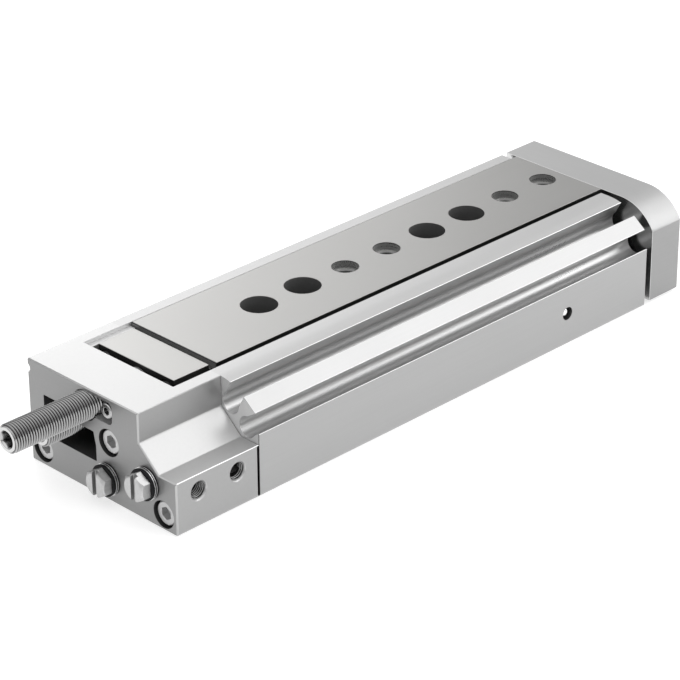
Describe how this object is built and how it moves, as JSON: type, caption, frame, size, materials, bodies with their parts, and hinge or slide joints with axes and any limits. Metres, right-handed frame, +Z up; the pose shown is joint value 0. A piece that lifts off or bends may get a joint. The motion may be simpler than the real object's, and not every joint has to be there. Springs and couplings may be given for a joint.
{
  "type": "pneumatic slide table",
  "caption": "Flat pneumatic slide table: a ball-guided slide between two rails, moved by a rod and yoke, with screw-in end stops and sensor slots.",
  "frame": {"origin": "on the base, midway between the outer pair of mounting holes, under the slide's centre line", "axes": "+X along the travel, towards the yoke; +Y across, away from the air ports; +Z up from the base"},
  "size_m": [0.2735, 0.07, 0.037],
  "materials": {
    "anodised_aluminium": "clear anodised, satin",
    "ground_slide_steel": "ground",
    "bright_steel": "bright",
    "chromed_rod": "hard chromed",
    "black_rubber": "matt black",
    "bearing_bronze": "plain",
    "cage_plastic": "moulded",
    "nickel_plated_brass": "nickel plated",
    "bonded_magnet": "plain"
  },
  "bodies": {
    "body": {"housing": "anodised_aluminium", "end_cap": "anodised_aluminium", "cap_gasket": "black_rubber", "pocket_strip": "anodised_aluminium", "cap_screws": "bright_steel", "port_plugs": "nickel_plated_brass", "plug_seal_rings": "black_rubber", "plug_washers": "bright_steel", "channel_ball": "bright_steel", "stop_clamp_piece": "bright_steel", "stop_clamp_screw": "bright_steel", "advance_anvil": "bright_steel", "anvil_screws": "bright_steel", "rod_gland": "anodised_aluminium", "gland_seal": "black_rubber", "rod_bush": "bearing_bronze", "rod_seal": "black_rubber", "gland_circlip": "bright_steel", "cap_bore_seal": "black_rubber", "housing_raceway_near": "bright_steel", "housing_raceway_far": "bright_steel"},
    "slide": {"slide_plate": "ground_slide_steel", "yoke_plate": "anodised_aluminium", "yoke_screws": "bright_steel", "rod_screw": "bright_steel", "piston_rod": "chromed_rod", "piston": "anodised_aluminium", "piston_seals": "black_rubber", "piston_magnet": "bonded_magnet", "piston_screw": "bright_steel", "stop_block": "ground_slide_steel", "stop_block_screws": "bright_steel", "advance_clamp_screw": "bright_steel", "slide_raceway_near": "bright_steel", "slide_raceway_far": "bright_steel"},
    "retract_stop": {"retract_stop_sleeve": "bright_steel", "retract_buffer": "black_rubber"},
    "advance_stop": {"advance_stop_sleeve": "bright_steel", "advance_buffer": "black_rubber"},
    "near_guide": {"ball_cage_near": "cage_plastic", "guide_balls_near": "bright_steel"},
    "far_guide": {"ball_cage_far": "cage_plastic", "guide_balls_far": "bright_steel"}
  },
  "joints": [
    {"name": "slide_travel", "type": "slide", "parent": "body", "child": "slide", "axis": [1, 0, 0], "range_m": [0, 0.1]},
    {"name": "near_guide_travel", "type": "slide", "parent": "body", "child": "near_guide", "axis": [1, 0, 0], "range_m": [0, 0.05]},
    {"name": "far_guide_travel", "type": "slide", "parent": "body", "child": "far_guide", "axis": [1, 0, 0], "range_m": [0, 0.05]},
    {"name": "retract_stop_adjust", "type": "slide", "parent": "body", "child": "retract_stop", "axis": [1, 0, 0], "range_m": [-0.01, 0]},
    {"name": "advance_stop_adjust", "type": "slide", "parent": "slide", "child": "advance_stop", "axis": [1, 0, 0], "range_m": [-0.01, 0]}
  ],
  "couplings": [
    {"joint": "near_guide_travel", "follows": "slide_travel", "ratio": 0.5},
    {"joint": "far_guide_travel", "follows": "slide_travel", "ratio": 0.5}
  ]
}
